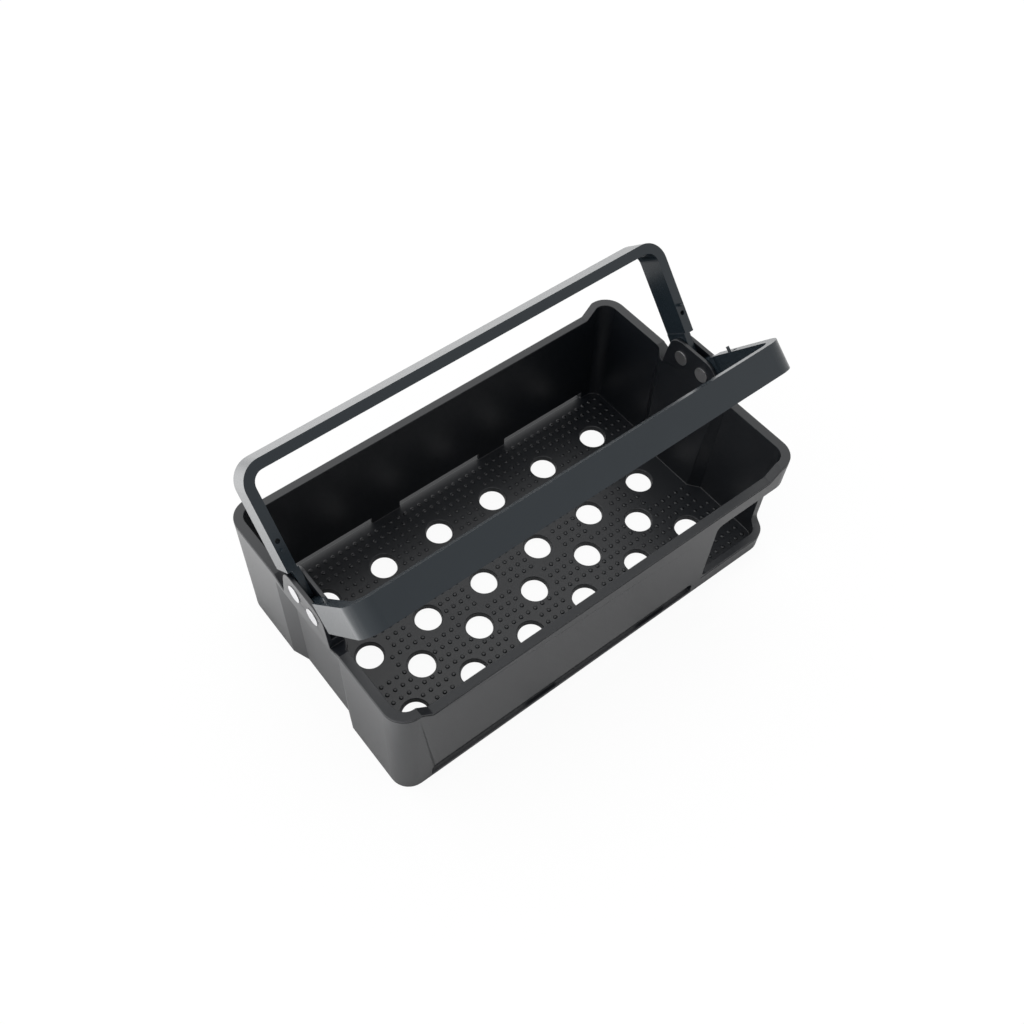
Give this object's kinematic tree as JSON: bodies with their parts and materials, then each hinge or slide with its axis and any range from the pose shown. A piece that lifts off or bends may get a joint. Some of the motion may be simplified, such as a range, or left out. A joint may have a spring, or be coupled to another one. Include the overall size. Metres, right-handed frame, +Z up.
{
  "type": "tool storage caddy",
  "caption": "Open-top rectangular caddy with a perforated floor, a cut-out corner window and paired folding handles that meet over the middle.",
  "frame": {"origin": "centre of the tray's underside, on the face it stands on", "axes": "+X along the long sides, to the end with the corner window; +Y to the rear long side, away from the window; +Z up"},
  "size_m": [0.3014, 0.1754, 0.1673],
  "materials": {
    "tray_body": "fine satin grain, dark slate grey",
    "handle_body": "smooth satin, slate grey, slightly lighter than the tray",
    "pivot_metal": "brushed"
  },
  "bodies": {
    "tray_body": {"tray": "tray_body", "stud_rear_left": "pivot_metal", "stud_rear_right": "pivot_metal", "stud_front_left": "pivot_metal", "stud_front_right": "pivot_metal", "cap_rear_left": "pivot_metal", "cap_rear_right": "pivot_metal", "cap_front_left": "pivot_metal", "cap_front_right": "pivot_metal"},
    "rear_handle_body": {"rear_handle": "handle_body"},
    "front_handle_body": {"front_handle": "handle_body"}
  },
  "joints": [
    {"name": "rear_hinge", "type": "hinge", "parent": "tray_body", "child": "rear_handle_body", "pos_m": [0, 0.00905, 0.1018], "axis": [1, 0, 0], "range_deg": [-48.2, 41.8]},
    {"name": "front_hinge", "type": "hinge", "parent": "tray_body", "child": "front_handle_body", "pos_m": [0, -0.00905, 0.1018], "axis": [1, 0, 0], "range_deg": [-39.5, 50.5]}
  ]
}
